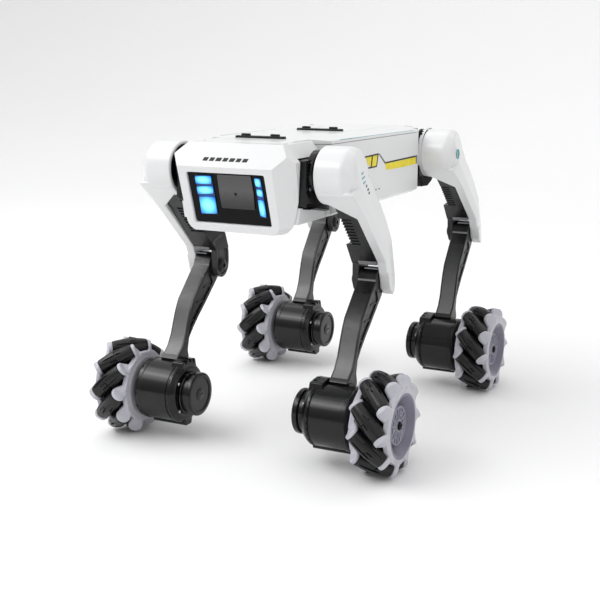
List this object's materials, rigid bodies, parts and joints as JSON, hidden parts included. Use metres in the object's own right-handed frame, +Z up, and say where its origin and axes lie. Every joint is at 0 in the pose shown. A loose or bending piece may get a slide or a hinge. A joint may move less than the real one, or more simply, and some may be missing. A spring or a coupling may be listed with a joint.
{
  "type": "quadruped robot dog",
  "caption": "Toy-size four-legged robot dog with a boxy lit face, white shells, black jointed legs and a powered mecanum wheel on each foot.",
  "frame": {"origin": "on the ground, at the middle of the whole model's width and length", "axes": "+Z up, the head looks along -Y, +X is the robot's left side"},
  "size_m": [0.2188, 0.29, 0.2047],
  "materials": {
    "white_shell": "glossy white ABS, light orange peel",
    "black_frame": "satin black moulding",
    "black_gloss": "polished black moulding",
    "wheel_plate": "lavender grey moulding",
    "roller_rubber": "soft black rubber",
    "steel": "turned steel",
    "screen": "smoked glossy window",
    "window_grey": "dark grey satin panel",
    "eye_light": "lit light guide",
    "board": "solder mask",
    "battery_wrap": "shrink wrap"
  },
  "bodies": {
    "body": {"body_lower_shell": "white_shell", "body_top_cover": "white_shell", "deck_strip_front": "black_frame", "deck_strip_rear": "black_frame", "battery_door": "white_shell", "battery_pack": "battery_wrap", "chassis_plate": "black_frame", "control_board": "board", "charging_socket": "black_frame", "head_shell": "white_shell", "face_screen": "screen", "camera_window": "window_grey", "left_eye_lights": "eye_light", "right_eye_lights": "eye_light", "speaker": "black_frame", "front_left_hip_drum": "black_gloss", "front_right_hip_drum": "black_gloss", "rear_left_hip_drum": "black_gloss", "rear_right_hip_drum": "black_gloss"},
    "front_left_thigh": {"front_left_thigh_cover": "white_shell", "front_left_thigh_frame": "black_frame", "front_left_hip_horn": "black_frame", "front_left_knee_pin": "steel"},
    "front_left_lower_leg": {"front_left_shin": "black_frame", "front_left_motor_housing": "black_gloss", "front_left_motor_cap": "black_frame"},
    "front_left_wheel": {"front_left_wheel_shaft": "steel", "front_left_wheel_hub": "wheel_plate", "front_left_wheel_rollers": "roller_rubber"},
    "front_right_thigh": {"front_right_thigh_cover": "white_shell", "front_right_thigh_frame": "black_frame", "front_right_hip_horn": "black_frame", "front_right_knee_pin": "steel"},
    "front_right_lower_leg": {"front_right_shin": "black_frame", "front_right_motor_housing": "black_gloss", "front_right_motor_cap": "black_frame"},
    "front_right_wheel": {"front_right_wheel_shaft": "steel", "front_right_wheel_hub": "wheel_plate", "front_right_wheel_rollers": "roller_rubber"},
    "rear_left_thigh": {"rear_left_thigh_cover": "white_shell", "rear_left_thigh_frame": "black_frame", "rear_left_hip_horn": "black_frame", "rear_left_knee_pin": "steel"},
    "rear_left_lower_leg": {"rear_left_shin": "black_frame", "rear_left_motor_housing": "black_gloss", "rear_left_motor_cap": "black_frame"},
    "rear_left_wheel": {"rear_left_wheel_shaft": "steel", "rear_left_wheel_hub": "wheel_plate", "rear_left_wheel_rollers": "roller_rubber"},
    "rear_right_thigh": {"rear_right_thigh_cover": "white_shell", "rear_right_thigh_frame": "black_frame", "rear_right_hip_horn": "black_frame", "rear_right_knee_pin": "steel"},
    "rear_right_lower_leg": {"rear_right_shin": "black_frame", "rear_right_motor_housing": "black_gloss", "rear_right_motor_cap": "black_frame"},
    "rear_right_wheel": {"rear_right_wheel_shaft": "steel", "rear_right_wheel_hub": "wheel_plate", "rear_right_wheel_rollers": "roller_rubber"},
    "power_button": {"power_button": "black_frame"}
  },
  "joints": [
    {"name": "front_left_hip", "type": "hinge", "parent": "body", "child": "front_left_thigh", "pos_m": [0, -0.10607, 0.1826], "axis": [1, 0, 0], "range_deg": [-16, 18]},
    {"name": "front_left_knee", "type": "hinge", "parent": "front_left_thigh", "child": "front_left_lower_leg", "pos_m": [0, -0.05997, 0.1097], "axis": [1, 0, 0], "range_deg": [-22, 12]},
    {"name": "front_left_wheel_spin", "type": "hinge", "parent": "front_left_lower_leg", "child": "front_left_wheel", "pos_m": [0, -0.11347, 0.032], "axis": [1, 0, 0], "continuous": true},
    {"name": "front_right_hip", "type": "hinge", "parent": "body", "child": "front_right_thigh", "pos_m": [0, -0.10607, 0.1826], "axis": [1, 0, 0], "range_deg": [-16, 18]},
    {"name": "front_right_knee", "type": "hinge", "parent": "front_right_thigh", "child": "front_right_lower_leg", "pos_m": [0, -0.05997, 0.1097], "axis": [1, 0, 0], "range_deg": [-22, 12]},
    {"name": "front_right_wheel_spin", "type": "hinge", "parent": "front_right_lower_leg", "child": "front_right_wheel", "pos_m": [0, -0.11347, 0.032], "axis": [1, 0, 0], "continuous": true},
    {"name": "rear_left_hip", "type": "hinge", "parent": "body", "child": "rear_left_thigh", "pos_m": [0, 0.07715, 0.18255], "axis": [1, 0, 0], "range_deg": [-16, 18]},
    {"name": "rear_left_knee", "type": "hinge", "parent": "rear_left_thigh", "child": "rear_left_lower_leg", "pos_m": [0, 0.13062, 0.11487], "axis": [1, 0, 0], "range_deg": [-22, 12]},
    {"name": "rear_left_wheel_spin", "type": "hinge", "parent": "rear_left_lower_leg", "child": "rear_left_wheel", "pos_m": [0, 0.08553, 0.032], "axis": [1, 0, 0], "continuous": true},
    {"name": "rear_right_hip", "type": "hinge", "parent": "body", "child": "rear_right_thigh", "pos_m": [0, 0.07715, 0.18255], "axis": [1, 0, 0], "range_deg": [-16, 18]},
    {"name": "rear_right_knee", "type": "hinge", "parent": "rear_right_thigh", "child": "rear_right_lower_leg", "pos_m": [0, 0.13062, 0.11487], "axis": [1, 0, 0], "range_deg": [-22, 12]},
    {"name": "rear_right_wheel_spin", "type": "hinge", "parent": "rear_right_lower_leg", "child": "rear_right_wheel", "pos_m": [0, 0.08553, 0.032], "axis": [1, 0, 0], "continuous": true},
    {"name": "power_button_press", "type": "slide", "parent": "body", "child": "power_button", "axis": [0, -1, 0], "range_m": [0, 0.0015], "stiffness_N_per_m": 400, "springref_m": -0.001}
  ]
}
